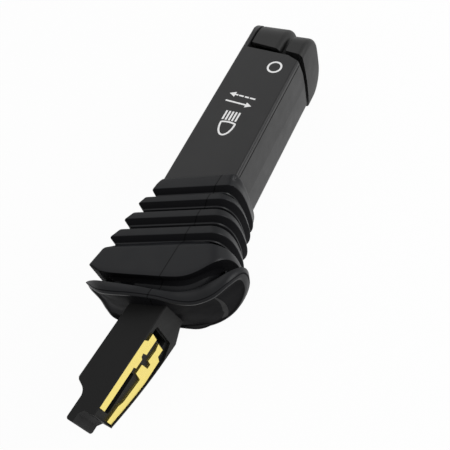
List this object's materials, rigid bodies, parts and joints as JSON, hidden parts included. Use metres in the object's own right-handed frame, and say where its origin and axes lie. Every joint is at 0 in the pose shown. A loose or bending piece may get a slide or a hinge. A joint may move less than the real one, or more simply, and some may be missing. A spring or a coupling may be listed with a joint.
{
  "type": "steering column stalk switch",
  "caption": "Plug-in column stalk: square handle with tip button and rocker, slanted bellows boot with mounting flange, contact foot.",
  "frame": {"origin": "middle of the flat end of the foot's end tab, where the stalk bottoms in the column's socket", "axes": "+Y along the handle towards the tip keys, +Z out of the printed front face, +X to the right of that face"},
  "size_m": [0.0574, 0.1921, 0.0394],
  "materials": {
    "handle_plastic": "fine-grained black moulded plastic",
    "key_plastic": "fine-grained black moulded plastic, slightly smoother",
    "boot_rubber": "smooth black moulded rubber with a soft sheen",
    "foot_plastic": "glass-filled black plastic",
    "contact_brass": "stamped strip with a gold flash",
    "inner_plastic": "natural low-friction plastic",
    "core_plastic": "glass-filled dark plastic",
    "pin_steel": "ground steel",
    "spring_steel": "drawn spring wire",
    "board_laminate": "green lacquered laminate",
    "resistor_body": "black component bodies",
    "lead_sleeve": "thin wire insulation",
    "print_white": "white pad print"
  },
  "bodies": {
    "root": {"foot_housing": "foot_plastic", "contact_strip_front": "contact_brass", "contact_strip_rear": "contact_brass", "carrier_plate": "foot_plastic", "boot_base": "boot_rubber", "detent_cam": "inner_plastic", "turn_pin": "pin_steel"},
    "pivot": {"pivot_block": "inner_plastic", "beam_pin": "pin_steel", "turn_spring": "spring_steel", "boot_folds": "boot_rubber"},
    "turn_detent": {"turn_plunger": "pin_steel"},
    "lever": {"lever_core": "core_plastic", "front_cover": "handle_plastic", "rear_shell": "handle_plastic", "shell_screws": "pin_steel", "boot_collar": "boot_rubber", "circuit_board": "board_laminate", "code_resistors": "resistor_body", "lead_connector": "inner_plastic", "leads": "lead_sleeve", "tip_frame": "core_plastic", "key_switches": "resistor_body", "rocker_pin": "pin_steel", "button_spring": "spring_steel", "rocker_springs": "spring_steel", "beam_spring": "spring_steel"},
    "beam_detent": {"beam_plunger": "pin_steel"},
    "button": {"push_button": "key_plastic"},
    "rocker": {"tip_rocker": "key_plastic"}
  },
  "joints": [
    {"name": "turn_signal", "type": "hinge", "parent": "root", "child": "pivot", "pos_m": [0.0009, 0.066, -0.0034], "axis": [1, 0, 0], "range_deg": [-10, 10], "deforming": ["boot_folds"]},
    {"name": "main_beam", "type": "hinge", "parent": "pivot", "child": "lever", "pos_m": [0.0009, 0.077, -0.0034], "axis": [0, 0, 1], "range_deg": [-6, 6], "deforming": ["boot_folds"]},
    {"name": "turn_detent_slide", "type": "slide", "parent": "pivot", "child": "turn_detent", "axis": [0, 1, 0], "range_m": [0, 0.0015], "stiffness_N_per_m": 300, "springref_m": -0.002, "deforming": ["turn_spring"]},
    {"name": "beam_detent_slide", "type": "slide", "parent": "lever", "child": "beam_detent", "axis": [0, 1, 0], "range_m": [0, 0.0015], "stiffness_N_per_m": 300, "springref_m": -0.002, "deforming": ["beam_spring"]},
    {"name": "button_press", "type": "slide", "parent": "lever", "child": "button", "axis": [0, -1, 0], "range_m": [0, 0.0012], "stiffness_N_per_m": 600, "springref_m": -0.0015, "deforming": ["button_spring"]},
    {"name": "rocker_tilt", "type": "hinge", "parent": "lever", "child": "rocker", "pos_m": [0.0091, 0.1635, -0.0034], "axis": [1, 0, 0], "range_deg": [-5, 5], "stiffness_Nm_per_rad": 0.2, "deforming": ["rocker_springs"]}
  ]
}
